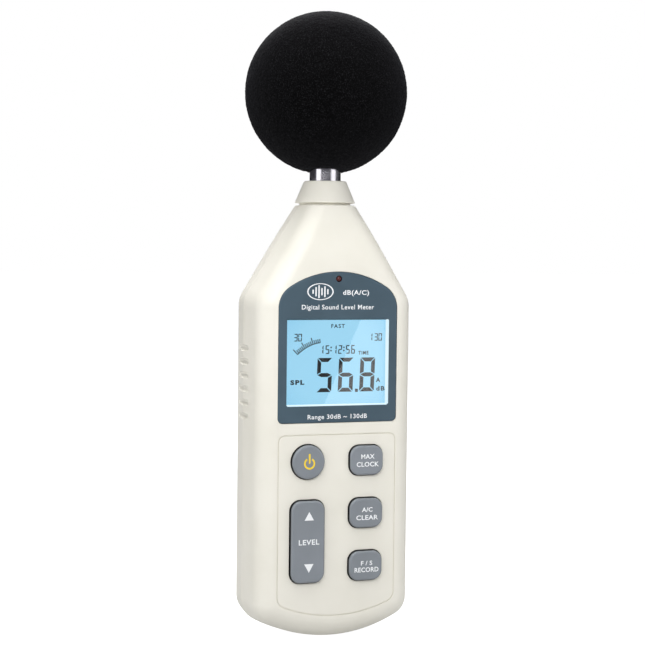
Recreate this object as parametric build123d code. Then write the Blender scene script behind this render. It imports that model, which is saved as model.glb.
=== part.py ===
"""Handheld digital sound level meter with a foam windscreen.

Everything is drawn in the body frame: X to the right, Y to the rear, Z up, with z = 0 just
below the casing and the microphone on the axis x = 0, y = 0.  Depths are measured
from the parting plane y = 0, so the front face is at y = -FRONT_DEPTH.  Each piece is moved
into the row frame, whose origin is the mouth of the tripod thread, when it is written.
"""

import os
from math import radians, sqrt, tan

from build123d import *

os.makedirs("parts", exist_ok=True)

# ---- casing -------------------------------------------------------------------------------
HALF_WIDTH = 34.1
FRONT_DEPTH = 17.5
REAR_DEPTH = 17.5
WALL = 2.2
BOTTOM_Z = 1.0
BOTTOM_RADIUS = 62.0
BOTTOM_CORNER = 9.5
SHOULDER_Z = 139.1
SHOULDER_RADIUS = 12.0
TAPER_ANGLE = 31.4
NECK_Z = 176.8
FRONT_DRAFT = 7.0
REAR_DRAFT = 6.0
FRONT_FILLET = 8.0
REAR_FILLET = 8.5
RIDGE_RADIUS = 30.0
RIDGE_LOSS = 0.2  # what rounding the ridge takes off the drawn outline
NECK_EDGE = 0.8
SLOPE_START_Z = 150.0
SLOPE_RADIUS = 78.0
SEAM = 0.25
TONGUE = 0.9
TONGUE_HEIGHT = 1.5

# ---- nose and microphone ------------------------------------------------------------------
NOSE_GAP = 0.9
NOSE_TOP_Z = 186.7
NOSE_BASE_R = 12.4
NOSE_TOP_R = 8.6
SPIGOT_R = 10.4
FLANGE_R = 10.8
TUBE_R = 6.35
TUBE_BOTTOM_Z = 161.0
TUBE_TOP_Z = 221.0
CAPSULE_TOP_Z = 228.6
MIC_TIP_Z = 233.0
FOAM_R = 33.2
FOAM_Z = 222.5
FOAM_BORE_R = 6.7

# ---- display ------------------------------------------------------------------------------
BEZEL_HALF = 25.27
BEZEL_BOTTOM_Z = 89.6
BEZEL_TOP_Z = 150.07
BEZEL_ARCH_R = 38.0
BEZEL_CORNER = 10.2
BEZEL_THICKNESS = 1.2
BEZEL_RECESS = 1.0
WINDOW_HALF = 21.78
WINDOW_LOW_Z = 96.36
WINDOW_HIGH_Z = 131.25
WINDOW_CORNER = 0.8
LED_Z = 147.25
LED_R = 1.2

# ---- keypad -------------------------------------------------------------------------------
KEY_PROUD = 1.9
KEY_GAP = 0.45
ROCKER_GAP = 0.5
KEY_WIDTH = 14.1
KEY_HEIGHT = 11.9
KEY_CORNER = 4.0
KEY_EDGE = 0.9
POWER_D = 13.65
ROCKER_HEIGHT = 33.0
LEFT_X = -12.55
RIGHT_X = 12.3
POWER_Z = 74.1
MAX_Z = 74.1
WEIGHTING_Z = 52.75
SPEED_Z = 31.3
ROCKER_Z = 42.05
ROCKER_DOME_OFFSET = 11.0
PIVOT_Y = -13.4
PIVOT_R = 1.0
PANEL_HALF = 25.2
PANEL_TOP_Z = 85.0
PANEL_BOTTOM_Z = 11.35
PANEL_ARCH_R = 58.0
GROOVE_WIDTH = 0.45
GROOVE_DEPTH = 0.4

# ---- layers inside, as distances from the parting plane -----------------------------------
BOARD_FRONT = -9.0
BOARD_BACK = -7.4
BOARD_HALF = 29.6
MAT_FRONT = -9.8
DOME_TOP = -11.6
CEILING_INNER = -10.9
PILL_END = -10.0
STEM_START = -14.0
GLASS_FRONT = -14.1
GLASS_BACK = -11.9
FRONT_INNER = -(FRONT_DEPTH - WALL)

# ---- battery bay --------------------------------------------------------------------------
CELL_R = 7.2
CELL_LENGTH = 50.5
CELL_PITCH = 14.5
CELL_Y = 8.2
CELL_LOW_Z = 16.2
BAY_HALF = 29.1
BAY_LOW_Z = 12.6
BAY_HIGH_Z = 70.2
BAY_FLOOR_BACK = 0.8
DOOR_THICKNESS = 1.9
DOOR_TOP_Z = 72.8
DOOR_CLEAR = 0.12
RAIL_INNER = 27.45
RAIL_OUTER = 30.0
RAIL_FRONT = 13.2
LIP_THICKNESS = 1.2
RAIL_CLEAR = 0.15
RAIL_LOW_Z = 15.0
RAIL_HIGH_Z = 72.0

# ---- grips and tripod thread --------------------------------------------------------------
GRIP_COUNT = 6
GRIP_TOP_Z = 119.0
GRIP_PITCH = 5.5
GRIP_DEPTH = 0.95
GRIP_R = 1.4
GRIP_FRONT = -4.0
GRIP_BACK = 7.0
TRIPOD_Z = 100.0
TRIPOD_R = 3.2
TRIPOD_LENGTH = 8.0

# ---- sockets in the right-hand wall -------------------------------------------------------
DC_Z = 45.0
OUTPUT_Z = 56.5
USB_Z = 67.0
TRIMMER_Z = 84.0
PORT_OUT = 32.1

CELL_X = [CELL_PITCH * (i - 1.5) for i in range(4)]
BOARD_SCREWS = [(-26.9, 94.0), (26.9, 94.0), (-26.9, 21.0), (26.9, 21.0), (0.0, 156.0)]
CASE_SCREWS = [(-24.2, 77.0), (24.2, 77.0), (-23.5, 141.0), (23.5, 141.0)]
KEYS = {
    "power": (LEFT_X, POWER_Z),
    "max": (RIGHT_X, MAX_Z),
    "weighting": (RIGHT_X, WEIGHTING_Z),
    "speed": (RIGHT_X, SPEED_Z),
}
ROCKER_DOMES = [(LEFT_X, ROCKER_Z + s * ROCKER_DOME_OFFSET) for s in (1, -1)]

TO_ROW = Location((0, -REAR_DEPTH, -TRIPOD_Z))
parts = {}


# ---- small shapes -------------------------------------------------------------------------
def block(x0, x1, y0, y1, z0, z1):
    """A box between two corners."""
    centre = ((x0 + x1) / 2, (y0 + y1) / 2, (z0 + z1) / 2)
    return Pos(*centre) * Box(x1 - x0, y1 - y0, z1 - z0)


def rod_y(x, z, r, y0, y1):
    """A round bar along Y."""
    return Pos(x, (y0 + y1) / 2, z) * Rot(90, 0, 0) * Cylinder(r, y1 - y0)


def rod_x(y, z, r, x0, x1):
    """A round bar along X."""
    return Pos((x0 + x1) / 2, y, z) * Rot(0, 90, 0) * Cylinder(r, x1 - x0)


def rod_z(x, y, r, z0, z1):
    """A round bar along Z."""
    return Pos(x, y, (z0 + z1) / 2) * Cylinder(r, z1 - z0)


def slab(face, y0, y1):
    """A flat face drawn as (x, z), thickened from depth y0 back to depth y1."""
    return Pos(0, y1, 0) * (Plane.XZ * extrude(face, y1 - y0))


def rounded(half_x, z0, z1, corner, x=0.0):
    """A rounded rectangle drawn as (x, z)."""
    return Pos(x, (z0 + z1) / 2) * RectangleRounded(2 * half_x, z1 - z0, corner)


def wide_arch(half, low_z, high_z, radius, low_corner, high_corner):
    """A plate outline with straight sides and an arc across its top."""
    side_z = high_z - radius + sqrt(radius**2 - half**2)
    sides = Polyline((half, side_z), (half, low_z), (-half, low_z), (-half, side_z))
    arch = ThreePointArc((-half, side_z), (0, high_z), (half, side_z))
    face = make_face(sides + arch)
    low = face.vertices().sort_by(Axis.Y)[:2]
    face = fillet(low, low_corner)
    high = [v for v in face.vertices() if abs(v.Y - side_z) < 0.01]
    return fillet(high, high_corner)


# ---- casing -------------------------------------------------------------------------------
def casing_outline():
    """Front outline of the casing: arched bottom, straight sides and tapering shoulders."""
    run_on_z = NECK_Z + 5.0
    top_half = HALF_WIDTH - (run_on_z - SHOULDER_Z) * tan(radians(TAPER_ANGLE))
    side_z = BOTTOM_Z + BOTTOM_RADIUS - sqrt(BOTTOM_RADIUS**2 - HALF_WIDTH**2)
    sides = Polyline(
        (HALF_WIDTH, side_z),
        (HALF_WIDTH, SHOULDER_Z),
        (top_half, run_on_z),
        (-top_half, run_on_z),
        (-HALF_WIDTH, SHOULDER_Z),
        (-HALF_WIDTH, side_z),
    )
    arch = ThreePointArc((-HALF_WIDTH, side_z), (0, BOTTOM_Z), (HALF_WIDTH, side_z))
    face = make_face(sides + arch)
    face = fillet([v for v in face.vertices() if abs(v.Y - SHOULDER_Z) < 0.01], SHOULDER_RADIUS)
    face = fillet([v for v in face.vertices() if abs(v.Y - side_z) < 0.01], BOTTOM_CORNER)
    return offset(face, amount=RIDGE_LOSS, kind=Kind.INTERSECTION)


def casing_half(inset, depth, draft, edge):
    """One half of the casing as a solid, its walls drafted and its outer edge rounded.

    It is drawn with its depth along local Z; inset shrinks it evenly for the hollow inside.
    """
    deep = depth - inset
    face = casing_outline()
    if inset:
        face = offset(face, amount=-inset, kind=Kind.INTERSECTION)
    solid = extrude(face, deep, taper=draft)
    # The face curves back towards the neck on an arc about the X direction.
    reach = 40.0
    radius = SLOPE_RADIUS - inset
    drop = radius - sqrt(radius**2 - reach**2)
    bend = SLOPE_START_Z
    profile = Polyline(
        (bend + reach, deep - drop), (bend + reach, deep + 5), (bend, deep + 5), (bend, deep)
    )
    sagitta = radius - sqrt(radius**2 - (reach / 2) ** 2)
    arc = ThreePointArc(
        (bend, deep), (bend + reach / 2, deep - sagitta), (bend + reach, deep - drop)
    )
    side = Plane((-50, 0, 0), x_dir=(0, 1, 0), z_dir=(1, 0, 0))
    solid -= extrude(side * make_face(profile + arc), 100)
    solid -= Pos(0, NECK_Z - inset + 10, 10) * Box(80, 20, 60)
    face_front = solid.faces().sort_by(Axis.Z)[-1]
    flat_edges = [e for e in face_front.edges() if e.center().Y < bend - 0.01]
    curved = [
        e
        for e in solid.edges()
        if e.center().Y > bend + 1 and e.center().Z > deep - 8 and abs(e.center().X) > 8
    ]
    return fillet(flat_edges + curved, edge)


def front_half(inset):
    """The front half of the casing's shape, depth towards -Y."""
    return Plane.XZ * casing_half(inset, FRONT_DEPTH, FRONT_DRAFT, FRONT_FILLET - inset)


def rear_half(inset):
    """The rear half of the casing's shape, depth towards +Y."""
    solid = casing_half(inset, REAR_DEPTH, REAR_DRAFT, REAR_FILLET - inset)
    return Plane.XZ * solid.mirror(Plane.XY)


def seam_ring(outer, inner, height):
    """A ring that follows the casing's outline, from inset outer to inset inner."""
    face = offset(casing_outline(), amount=-outer, kind=Kind.INTERSECTION)
    hole = offset(casing_outline(), amount=-inner, kind=Kind.INTERSECTION)
    return extrude(face, height) - extrude(hole, height)


def key_outline(name, grow=0.0):
    """The outline of a key, or of its opening when grow is the gap round it."""
    if name == "power":
        return Pos(*KEYS["power"]) * Circle(POWER_D / 2 + grow)
    if name == "level":
        x, z, tall = LEFT_X, ROCKER_Z, ROCKER_HEIGHT
    else:
        x, z = KEYS[name]
        tall = KEY_HEIGHT
    face = RectangleRounded(KEY_WIDTH + 2 * grow, tall + 2 * grow, KEY_CORNER + grow)
    return Pos(x, z) * face


def grip_cutters():
    """Round-bottomed finger grooves across both side walls."""
    cutters = []
    for i in range(GRIP_COUNT):
        z = GRIP_TOP_Z - i * GRIP_PITCH
        for side in (-1, 1):
            x = side * (HALF_WIDTH - GRIP_DEPTH + GRIP_R)
            cutters.append(rod_y(x, z, GRIP_R, GRIP_FRONT, GRIP_BACK))
            cutters += [Pos(x, y, z) * Sphere(GRIP_R) for y in (GRIP_FRONT, GRIP_BACK)]
    return cutters


def casing_outer():
    """The whole casing's outside, its side ridge and the rim of its neck softened."""
    solid = front_half(0.0) + rear_half(0.0)
    ridge = [e for e in solid.edges() if e.bounding_box().size.Y < 0.01 and abs(e.center().Y) < 0.01]
    ridge = [e for e in ridge if e.center().Z < NECK_Z - 0.1]
    solid = fillet(ridge, RIDGE_RADIUS)
    rim = [e for e in solid.edges() if e.bounding_box().min.Z > NECK_Z - 0.01]
    return fillet(rim, NECK_EDGE)


outer = casing_outer()
outer_front = outer & block(-50, 50, -50, 0, -10, 200)
outer_rear = outer & block(-50, 50, 0, 50, -10, 200)
inner_front = front_half(WALL)
inner_rear = rear_half(WALL)
grips = grip_cutters()

bezel_face = wide_arch(BEZEL_HALF, BEZEL_BOTTOM_Z, BEZEL_TOP_Z, BEZEL_ARCH_R, 2.1, BEZEL_CORNER)
window_face = rounded(WINDOW_HALF, WINDOW_LOW_Z, WINDOW_HIGH_Z, WINDOW_CORNER)
neck_hole = rod_z(0, 0, SPIGOT_R + 0.1, NECK_Z - WALL - 1, NECK_Z + 1)


# ---- front shell --------------------------------------------------------------------------
def panel_groove():
    """The shallow line moulded round the keypad."""
    face = Pos(0, PANEL_TOP_Z + PANEL_BOTTOM_Z) * Rot(0, 0, 180) * wide_arch(
        PANEL_HALF, PANEL_BOTTOM_Z, PANEL_TOP_Z, PANEL_ARCH_R, 3.0, 4.5
    )
    core = offset(face, amount=-GROOVE_WIDTH, kind=Kind.INTERSECTION)
    ring = extrude(face, GROOVE_DEPTH + 1) - extrude(core, GROOVE_DEPTH + 1)
    return Pos(0, -FRONT_DEPTH + GROOVE_DEPTH, 0) * (Plane.XZ * ring)


def screw_boss(x, z, r, y1):
    """A boss from the front wall back to depth y1."""
    return rod_y(x, z, r, FRONT_INNER - 0.6, y1)


def make_front_shell():
    shell = outer_front - inner_front
    posts = [screw_boss(x, z, 2.0, BOARD_FRONT) for x, z in BOARD_SCREWS[:4]]
    posts.append(rod_y(*BOARD_SCREWS[4], 2.0, -15.4, BOARD_FRONT))
    posts += [rod_y(x, z, 2.8, -15.6, 0.0) for x, z in CASE_SCREWS]
    for sign in (-1, 1):
        x = LEFT_X + sign * (KEY_WIDTH / 2 + 1.35)
        ear = block(x - 0.75, x + 0.75, FRONT_INNER - 0.1, -11.7, ROCKER_Z - 2.4, ROCKER_Z + 2.4)
        posts.append(ear)
    shell = shell.fuse(*[p & outer_front for p in posts])
    cuts = [rod_y(x, z, 0.8, -14.4, BOARD_FRONT + 1) for x, z in BOARD_SCREWS[:4]]
    cuts.append(rod_y(*BOARD_SCREWS[4], 0.8, -14.0, BOARD_FRONT + 1))
    cuts += [rod_y(x, z, 1.1, -13.0, 1.0) for x, z in CASE_SCREWS]
    pivot = PIVOT_R + 0.05
    cuts.append(rod_x(PIVOT_Y, ROCKER_Z, pivot, LEFT_X - 12, LEFT_X + 12))
    cuts.append(slab(offset(bezel_face, amount=0.12), -30, -FRONT_DEPTH + BEZEL_RECESS))
    cuts.append(slab(offset(window_face, amount=0.3), -30, -13))
    cuts.append(rod_y(0, LED_Z, LED_R + 0.15, -30, -13))
    for name in KEYS:
        cuts.append(slab(key_outline(name, KEY_GAP), -30, -13))
    rocker_hole = key_outline("level", ROCKER_GAP)
    cuts.append(slab(rocker_hole, -30, FRONT_INNER + 0.05))
    cuts.append(panel_groove())
    cuts.append(neck_hole)
    cuts.append(rod_x(-4.3, DC_Z, 2.9, 28, 40))
    cuts.append(rod_x(-4.8, OUTPUT_Z, 2.5, 28, 40))
    cuts.append(block(28, 40, -7.45, -3.25, USB_Z - 4.1, USB_Z + 4.1))
    cuts.append(rod_x(-4.2, TRIMMER_Z, 1.6, 28, 40))
    rebate = Plane.XZ * seam_ring(WALL - TONGUE - 0.1, WALL + 1.5, TONGUE_HEIGHT + 0.2)
    shadow = Plane.XZ * (seam_ring(-1.0, SEAM, SEAM))
    return shell.cut(*cuts, *grips, rebate - posts_core(), shadow)


def posts_core():
    """The room round the case screws' posts that the seam's rebate leaves alone."""
    return Compound([rod_y(x, z, 2.8, -3.0, 0.5) for x, z in CASE_SCREWS])


parts["front_shell"] = make_front_shell()


# ---- rear shell and battery door ----------------------------------------------------------
def door_cut():
    """The opening for the battery door, run out through the casing's bottom."""
    inner_y = REAR_DEPTH - DOOR_THICKNESS
    panel = block(-BAY_HALF, BAY_HALF, inner_y, 30, -5, DOOR_TOP_Z)
    low_y = RAIL_FRONT - RAIL_CLEAR
    cuts = [panel]
    for s in (-1, 1):
        inner = s * (RAIL_INNER - RAIL_CLEAR)
        outer_x = s * (RAIL_OUTER + RAIL_CLEAR)
        high_y = RAIL_FRONT + LIP_THICKNESS + RAIL_CLEAR
        cuts.append(block(*sorted((inner, outer_x)), low_y, high_y, -5, DOOR_TOP_Z))
        cuts.append(block(*sorted((inner, s * BAY_HALF)), low_y, inner_y + 1, -5, DOOR_TOP_Z))
    return cuts


def make_rear_shell():
    shell = outer_rear - inner_rear
    core = rear_half(WALL - 0.3)
    bay = block(-33, 33, 0.0, 15.4, BAY_LOW_Z - 1.4, BAY_HIGH_Z + 1.4) & core
    floor_face = offset(casing_outline(), amount=-(WALL + 0.6), kind=Kind.INTERSECTION)
    floor_front = slab(floor_face, -BAY_FLOOR_BACK, 0.0)
    floor_front &= block(-31, 31, -BAY_FLOOR_BACK, 0.0, BAY_LOW_Z - 1.4, BAY_HIGH_Z + 1.4)
    posts = [rod_y(x, z, 3.6, 0.0, 16.5) & outer_rear for x, z in CASE_SCREWS]
    boss = rod_y(0, TRIPOD_Z, 7.0, 7.4, REAR_DEPTH)
    tongue = Plane.XZ * seam_ring(WALL - TONGUE, WALL, TONGUE_HEIGHT)
    shell = shell.fuse(bay, floor_front, boss, *posts)
    tongue_room = [rod_y(x, z, 3.0, -3.0, 0.0) for x, z in CASE_SCREWS]
    tongue = tongue.cut(*tongue_room, block(20, 40, -5, 1, DC_Z - 6, TRIMMER_Z + 5))
    tongue = tongue.cut(block(-30, 30, -5, 1, NECK_Z - WALL - 5, 200))
    shell = shell.fuse(*tongue.solids())
    half = BAY_HALF
    cuts = [block(-half, half, BAY_FLOOR_BACK, 30, BAY_LOW_Z, BAY_HIGH_Z)]
    cuts += door_cut()
    cuts.append(rod_y(0, TRIPOD_Z, 4.6, REAR_DEPTH - TRIPOD_LENGTH, 30))
    cuts.append(neck_hole)
    for x, z in CASE_SCREWS:
        cuts.append(rod_y(x, z, 1.4, -1, 20))
        cuts.append(rod_y(x, z, 2.7, 6.0, 20))
    return shell.cut(*cuts, *grips)


parts["rear_shell"] = make_rear_shell()


def make_door():
    inner_y = REAR_DEPTH - DOOR_THICKNESS
    half = BAY_HALF - DOOR_CLEAR
    door = outer_rear & block(-half, half, inner_y, 30, -5, DOOR_TOP_Z - DOOR_CLEAR)
    rails = []
    for s in (-1, 1):
        inner = s * RAIL_INNER
        lip_y = RAIL_FRONT + LIP_THICKNESS
        rib = block(*sorted((inner, s * half)), RAIL_FRONT, inner_y + 0.4, RAIL_LOW_Z, RAIL_HIGH_Z)
        lip = block(*sorted((inner, s * RAIL_OUTER)), RAIL_FRONT, lip_y, RAIL_LOW_Z, RAIL_HIGH_Z)
        rails += [rib, lip]
    door = door.fuse(*rails)
    # Thumb ridges across the door near its top, as shallow cuts.
    cuts = [
        block(-9, 9, REAR_DEPTH - 0.45, 30, z, z + 1.0)
        for z in (58.0, 60.0, 62.0, 64.0, 66.0)
    ]
    return door.cut(*cuts)


parts["battery_door"] = make_door()


def make_insert():
    """Brass insert for the tripod thread, with a knurled-in groove round its middle."""
    low = REAR_DEPTH - TRIPOD_LENGTH
    body = rod_y(0, TRIPOD_Z, 4.6, low, REAR_DEPTH) - rod_y(0, TRIPOD_Z, TRIPOD_R, low, 20)
    ring = rod_y(0, TRIPOD_Z, 5, low + 3.4, low + 4.6) - rod_y(0, TRIPOD_Z, 4.2, low, 20)
    return body - ring


parts["tripod_insert"] = make_insert()


# ---- cells and contacts -------------------------------------------------------------------
def make_cell(x, up):
    """A cylindrical cell; its raised end points up or down."""
    can_low = CELL_LOW_Z if up else CELL_LOW_Z + 1.2
    can = rod_z(x, CELL_Y, CELL_R, can_low, can_low + CELL_LENGTH - 1.2)
    can = fillet(can.edges().filter_by(GeomType.CIRCLE), 0.6)
    tip_low = can_low + CELL_LENGTH - 1.2 if up else CELL_LOW_Z
    return can + rod_z(x, CELL_Y, 2.6, tip_low, tip_low + 1.2)


for number, cell_x in enumerate(CELL_X, start=1):
    parts[f"battery_{number}"] = make_cell(cell_x, number % 2 == 1)


def contact_plate(x0, x1, z):
    """A nickelled plate across the ends of one or two cells."""
    return block(x0 - 5, x1 + 5, 3.4, 13.0, z, z + 0.4)


cells_high_z = CELL_LOW_Z + CELL_LENGTH
plates = [
    contact_plate(CELL_X[0], CELL_X[1], BAY_LOW_Z),
    contact_plate(CELL_X[2], CELL_X[3], BAY_LOW_Z),
    contact_plate(CELL_X[0], CELL_X[0], BAY_HIGH_Z - 0.4),
    contact_plate(CELL_X[1], CELL_X[2], BAY_HIGH_Z - 0.4),
    contact_plate(CELL_X[3], CELL_X[3], BAY_HIGH_Z - 0.4),
]
nubs = []
for index, cell_x in enumerate(CELL_X):
    if index % 2 == 0:
        nubs.append((cell_x, cells_high_z, BAY_HIGH_Z - 0.4))
    else:
        nubs.append((cell_x, BAY_LOW_Z + 0.4, CELL_LOW_Z))
nub_solids = [rod_z(x, CELL_Y, 2.2, z0, z1) for x, z0, z1 in nubs]
parts["battery_contacts"] = Compound(plates[0].fuse(*plates[1:], *nub_solids).solids())


def make_spring(x, z_plate, z_cell):
    """The envelope of a conical contact spring, hollow and open at its wide end."""
    tall = abs(z_cell - z_plate)
    shape = Cone(4.2, 3.0, tall) - Cone(3.7, 2.5, tall)
    if z_cell < z_plate:
        shape = Rot(180, 0, 0) * shape
    return Pos(x, CELL_Y, (z_plate + z_cell) / 2) * shape


springs = []
for index, cell_x in enumerate(CELL_X):
    if index % 2 == 0:
        springs.append(make_spring(cell_x, BAY_LOW_Z + 0.4, CELL_LOW_Z))
    else:
        springs.append(make_spring(cell_x, BAY_HIGH_Z - 0.4, cells_high_z))
parts["battery_springs"] = Compound(springs)


# ---- screws -------------------------------------------------------------------------------
def pan_screw(x, z, shaft_r, head_r, y_tip, y_seat, head):
    """A pan-head screw along Y, with its cross recess, head to the rear."""
    top = rod_y(x, z, head_r, y_seat, y_seat + head)
    top = fillet(top.edges().filter_by(GeomType.CIRCLE).sort_by(Axis.Y)[-1], head * 0.45)
    arm = head_r * 0.55
    low, high = y_seat + head * 0.5, y_seat + 9
    cross = [
        block(x - arm, x + arm, low, high, z - 0.3, z + 0.3),
        block(x - 0.3, x + 0.3, low, high, z - arm, z + arm),
    ]
    return (top + rod_y(x, z, shaft_r, y_tip, y_seat)).cut(*cross)


board_screws = [pan_screw(x, z, 0.75, 1.9, -13.4, BOARD_BACK, 1.3) for x, z in BOARD_SCREWS]
parts["board_screws"] = Compound(board_screws)
case_screws = [pan_screw(x, z, 1.05, 2.5, -10.0, 6.0, 1.8) for x, z in CASE_SCREWS]
parts["case_screws"] = Compound(case_screws)


# ---- nose cap and microphone --------------------------------------------------------------
def make_nose():
    base_z = NECK_Z + NOSE_GAP
    cone = Pos(0, 0, base_z) * Cone(
        NOSE_BASE_R, NOSE_TOP_R, NOSE_TOP_Z - base_z, align=(Align.CENTER, Align.CENTER, Align.MIN)
    )
    cone = fillet(cone.edges().filter_by(GeomType.CIRCLE).sort_by(Axis.Z)[-1], 0.7)
    cone = fillet(cone.edges().filter_by(GeomType.CIRCLE).sort_by(Axis.Z)[0], 0.3)
    spigot = rod_z(0, 0, SPIGOT_R, NECK_Z - WALL - 0.2, base_z)
    flange = rod_z(0, 0, FLANGE_R, NECK_Z - WALL - 2.4, NECK_Z - WALL - 0.2)
    return (cone + spigot + flange) - rod_z(0, 0, TUBE_R, 160, 200)


parts["nose_cap"] = make_nose()

tube = rod_z(0, 0, TUBE_R, TUBE_BOTTOM_Z, TUBE_TOP_Z)
parts["microphone_tube"] = tube - rod_z(0, 0, 5.45, TUBE_BOTTOM_Z - 1, TUBE_TOP_Z + 1)

capsule = rod_z(0, 0, TUBE_R, TUBE_TOP_Z, CAPSULE_TOP_Z) + rod_z(0, 0, 5.4, 216.5, TUBE_TOP_Z)
capsule -= rod_z(0, 0, 4.7, 216, CAPSULE_TOP_Z + 1)
capsule -= rod_z(0, 0, 7, 223.2, 223.7) - rod_z(0, 0, 6.05, 223, 224)
parts["microphone_capsule"] = capsule

parts["microphone_insulator"] = rod_z(0, 0, 4.65, 225.0, 226.6) - rod_z(0, 0, 1.0, 224, 228)
back_plate = rod_z(0, 0, 3.9, 226.6, 228.0) + rod_z(0, 0, 0.9, 214.5, 226.6)
parts["microphone_electrode"] = back_plate
parts["microphone_diaphragm"] = rod_z(0, 0, 6.0, CAPSULE_TOP_Z, CAPSULE_TOP_Z + 0.2)


def make_grid():
    """Protection grid: a thin cap with slots across its top."""
    cap = rod_z(0, 0, TUBE_R, CAPSULE_TOP_Z, MIC_TIP_Z)
    cap = fillet(cap.edges().filter_by(GeomType.CIRCLE).sort_by(Axis.Z)[-1], 0.6)
    cap -= rod_z(0, 0, 6.05, CAPSULE_TOP_Z - 1, CAPSULE_TOP_Z + 0.25)
    cap -= rod_z(0, 0, 5.55, CAPSULE_TOP_Z - 1, MIC_TIP_Z - 0.7)
    slots = []
    for i in range(-3, 4):
        x = i * 1.4
        half = sqrt(4.9**2 - x**2)
        slots.append(block(x - 0.35, x + 0.35, -half, half, MIC_TIP_Z - 2, MIC_TIP_Z + 1))
    return cap.cut(*slots)


parts["microphone_grid"] = make_grid()

bush = rod_z(0, 0, 9.4, 164.0, 171.2) - rod_z(0, 0, TUBE_R, 160, 180)
parts["microphone_bush"] = bush
parts["preamp_board"] = block(-4.4, 4.4, -0.4, 0.4, 172.0, 212.0)


def make_lead():
    """The microphone's lead, from the preamplifier board down to the main board."""
    path = FilletPolyline((0, -1.3, 176.0), (0, -1.3, 152.0), (0, -7.4, 146.0), radius=4.0)
    return sweep(Plane(path @ 0, z_dir=path % 0) * Circle(0.9), path)


parts["microphone_lead"] = make_lead() - block(-3, 3, BOARD_BACK - 5, BOARD_BACK, 140, 150)

foam = Pos(0, 0, FOAM_Z) * Sphere(FOAM_R)
parts["foam_windscreen"] = foam - rod_z(0, 0, FOAM_BORE_R, 150, MIC_TIP_Z + 0.5)


# ---- display ------------------------------------------------------------------------------
def make_bezel():
    front = -FRONT_DEPTH + BEZEL_RECESS - BEZEL_THICKNESS
    plate = slab(bezel_face, front, front + BEZEL_THICKNESS)
    rim = plate.faces().sort_by(Axis.Y)[0].outer_wire().edges()
    plate = fillet(rim, 0.5)
    plate -= slab(window_face, -30, 0)
    return plate - rod_y(0, LED_Z, LED_R + 0.1, -30, 0)


parts["display_bezel"] = make_bezel()
parts["display_window"] = slab(rounded(23.8, 94.2, 133.4, 1.0), -15.25, -14.25)
parts["lcd_glass"] = slab(rounded(23.6, 92.8, 134.0, 0.4), GLASS_FRONT, GLASS_BACK)
parts["lcd_backlight"] = slab(rounded(22.6, 96.0, 131.2, 0.6), -11.85, -9.3)
frame_outer = slab(rounded(24.9, 91.4, 135.4, 1.2), GLASS_FRONT, BOARD_FRONT - 0.05)
parts["lcd_frame"] = frame_outer - slab(rounded(23.65, 92.7, 134.1, 0.4), -16, -8)
strips = [slab(rounded(22.0, z, z + 1.9, 0.4), GLASS_BACK, BOARD_FRONT) for z in (93.3, 131.7)]
parts["lcd_contact_strips"] = Compound(strips)


def make_led():
    body = rod_y(0, LED_Z, LED_R, -16.8, -11.0)
    dome = (Pos(0, -16.8, LED_Z) * Sphere(LED_R)) & rod_y(0, LED_Z, 2, -19, -16.8)
    collar = rod_y(0, LED_Z, 1.5, -11.0, -10.0)
    legs = [rod_y(x, LED_Z, 0.25, -10.0, BOARD_FRONT) for x in (-0.7, 0.7)]
    return (body + dome + collar).fuse(*legs)


parts["status_led"] = make_led()


# ---- boards and their components ----------------------------------------------------------
def make_main_board():
    half = BOARD_HALF
    low = rounded(half, 15.0, 137.0, 4.0)
    neck = Polyline(
        (-half, 130), (-half, 137), (-13, 162), (13, 162), (half, 137), (half, 130), close=True
    )
    board = slab(low + make_face(neck), BOARD_FRONT, BOARD_BACK)
    cuts = [rod_y(x, z, 1.1, -10, -6) for x, z in BOARD_SCREWS]
    cuts += [rod_y(x, z, 3.1, -10, -6) for x, z in CASE_SCREWS]
    return board.cut(*cuts)


parts["main_board"] = make_main_board()


def chip(x, z, half_x, half_z, tall, legs_per_side=0, pitch=1.0):
    """A chip on the rear face of the main board, with its legs as small tabs."""
    body = block(x - half_x, x + half_x, BOARD_BACK + 0.1, BOARD_BACK + tall, z - half_z, z + half_z)
    tabs = []
    for i in range(legs_per_side):
        at = (i - (legs_per_side - 1) / 2) * pitch
        for s in (-1, 1):
            mid_x, mid_z = x + s * (half_x + 0.4), z + at
            tab = block(
                mid_x - 0.6, mid_x + 0.6, BOARD_BACK, BOARD_BACK + 0.3, mid_z - 0.2, mid_z + 0.2
            )
            tabs.append(tab)
    return body.fuse(*tabs) if tabs else body


parts["microcontroller"] = chip(-6.0, 112.0, 6.0, 6.0, 1.5, 10, 1.0)
parts["memory_chip"] = chip(10.0, 118.0, 2.6, 2.5, 1.6, 4, 1.27)
parts["clock_crystal"] = block(8.5, 11.5, BOARD_BACK, BOARD_BACK + 1.4, 104.0, 111.0)
coil = rod_y(-16.0, 92.0, 3.6, BOARD_BACK, BOARD_BACK + 3.8)
parts["power_inductor"] = coil - (rod_y(-16.0, 92.0, 5, -6.6, -4.6) - rod_y(-16.0, 92.0, 2.8, -8, -3))
capacitors = [rod_y(x, 92.0, 2.5, BOARD_BACK, BOARD_BACK + 5.4) for x in (-7.0, 0.0, 7.0)]
parts["board_capacitors"] = Compound([fillet(c.edges().sort_by(Axis.Y)[-1], 0.5) for c in capacitors])
small = [
    block(x - 0.5, x + 0.5, BOARD_BACK, BOARD_BACK + 0.6, z - 1.0, z + 1.0)
    for z in (128.0, 134.0)
    for x in (-15.0, -9.0, -3.0, 3.0, 9.0, 15.0)
]
parts["small_components"] = Compound(small)


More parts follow.
